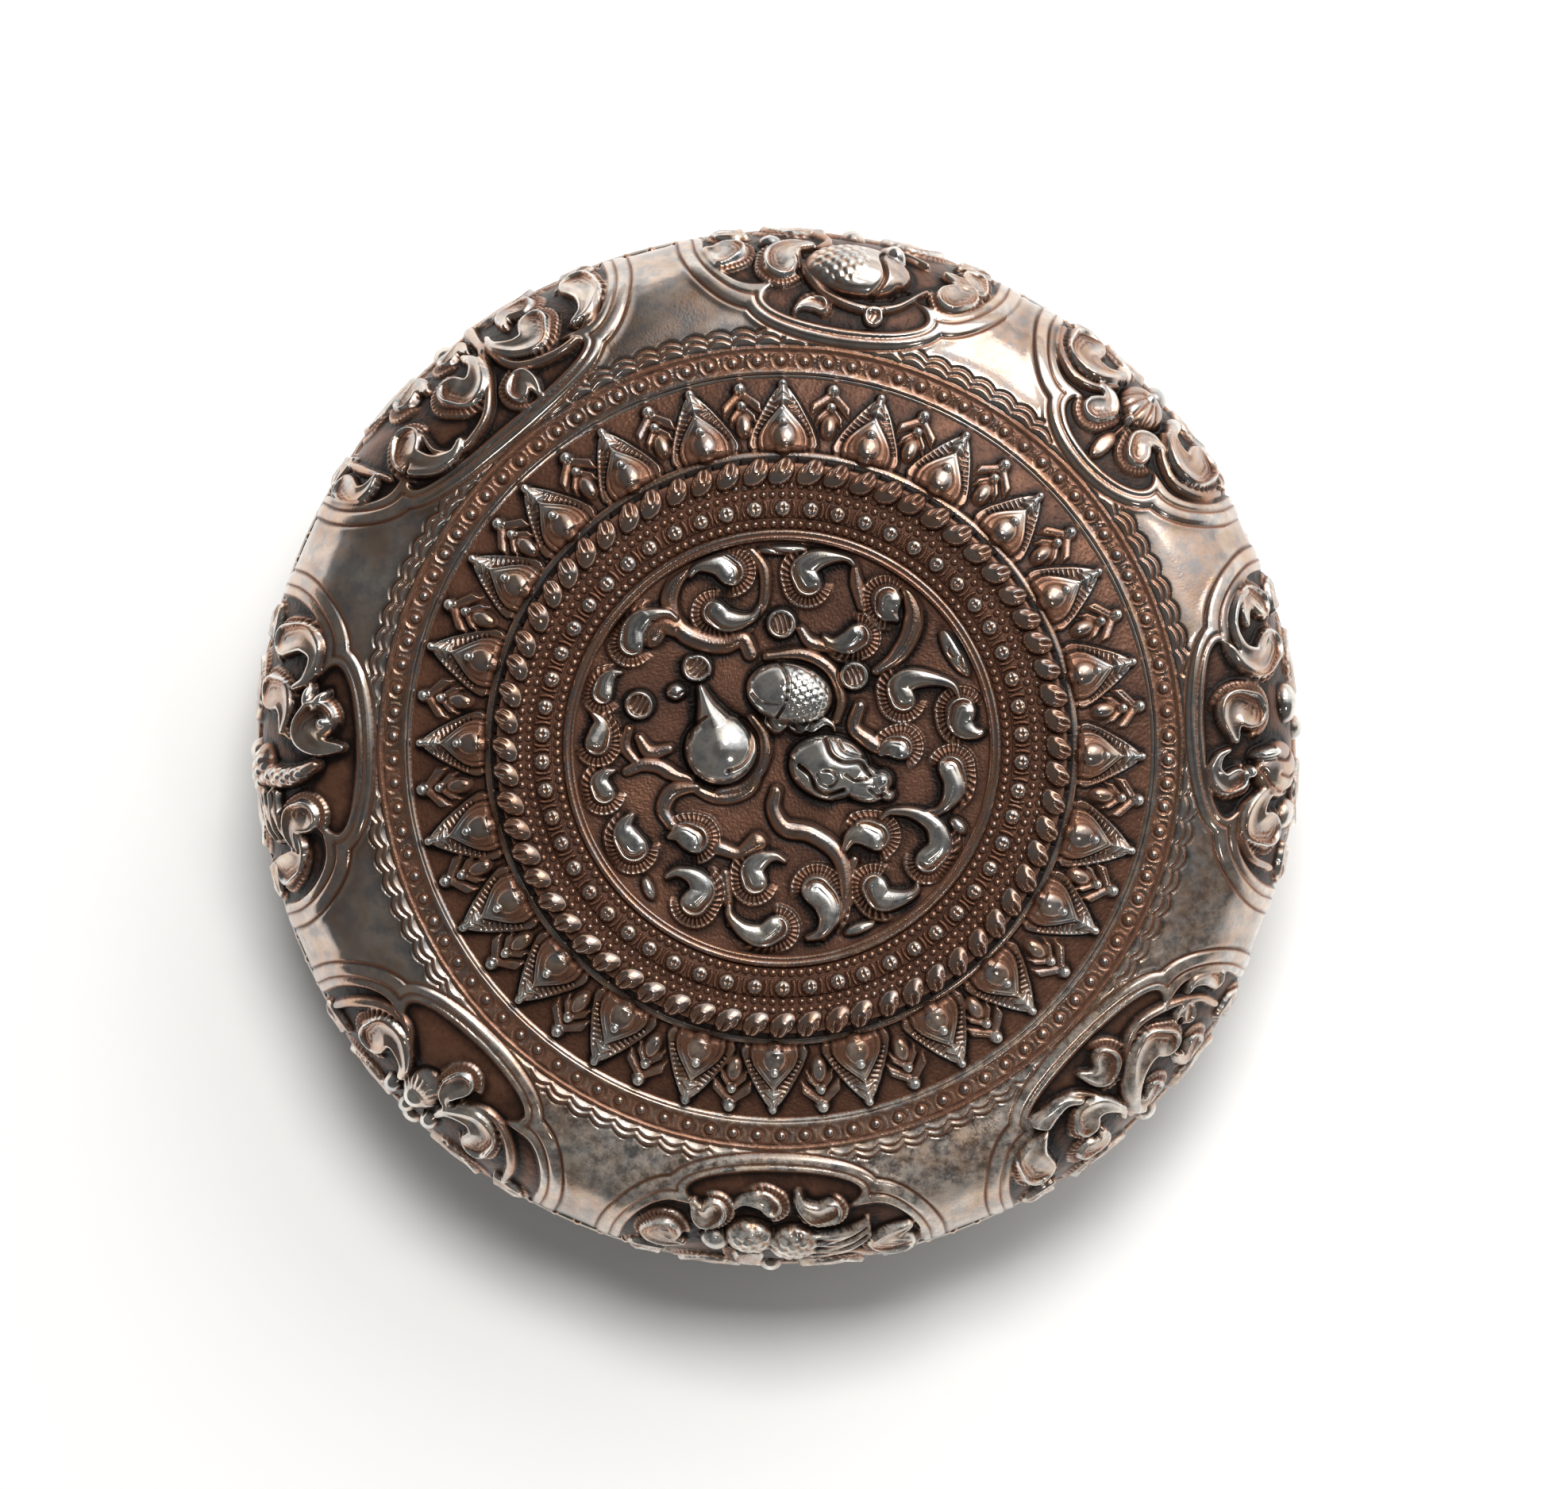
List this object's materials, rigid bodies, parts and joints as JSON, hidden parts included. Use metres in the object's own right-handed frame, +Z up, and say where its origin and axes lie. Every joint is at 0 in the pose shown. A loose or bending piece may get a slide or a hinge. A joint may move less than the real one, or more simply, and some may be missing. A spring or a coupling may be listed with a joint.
{
  "type": "round amulet box",
  "caption": "Round silver amulet box with a domed, chased lid that lifts off: curled animal in the middle, lotus petals, bead rows and lobed cartouches.",
  "frame": {"origin": "middle of the foot ring's underside, on the surface the box stands on", "axes": "+Z up along the box's own axis, +Y towards the top of the picture, +X towards its right"},
  "size_m": [0.1196, 0.1196, 0.0482],
  "materials": {
    "worked_silver": "satin",
    "bead_silver": "satin",
    "plain_silver": "satin",
    "red_silk": "satin",
    "paper": "matte",
    "gold_silk": "satin"
  },
  "bodies": {
    "base": {"base_bowl": "plain_silver", "base_collar": "plain_silver", "base_rim_wire": "plain_silver", "foot_ring": "plain_silver", "lining_pad": "red_silk", "prayer_roll": "paper", "roll_ties": "gold_silk"},
    "lid": {"lid_shoulder": "worked_silver", "rim_granules": "bead_silver", "pearl_granules": "bead_silver", "petal_band": "worked_silver", "stage_drum": "worked_silver", "large_granules": "bead_silver", "outer_fine_wire": "bead_silver", "inner_fine_wire": "bead_silver", "middle_granules": "bead_silver", "medallion_fine_wire": "bead_silver", "medallion_bezel": "worked_silver", "medallion_plate": "worked_silver"}
  },
  "joints": [
    {"name": "lid_lift", "type": "slide", "parent": "base", "child": "lid", "axis": [0, 0, 1], "range_m": [0, 0.06]}
  ]
}
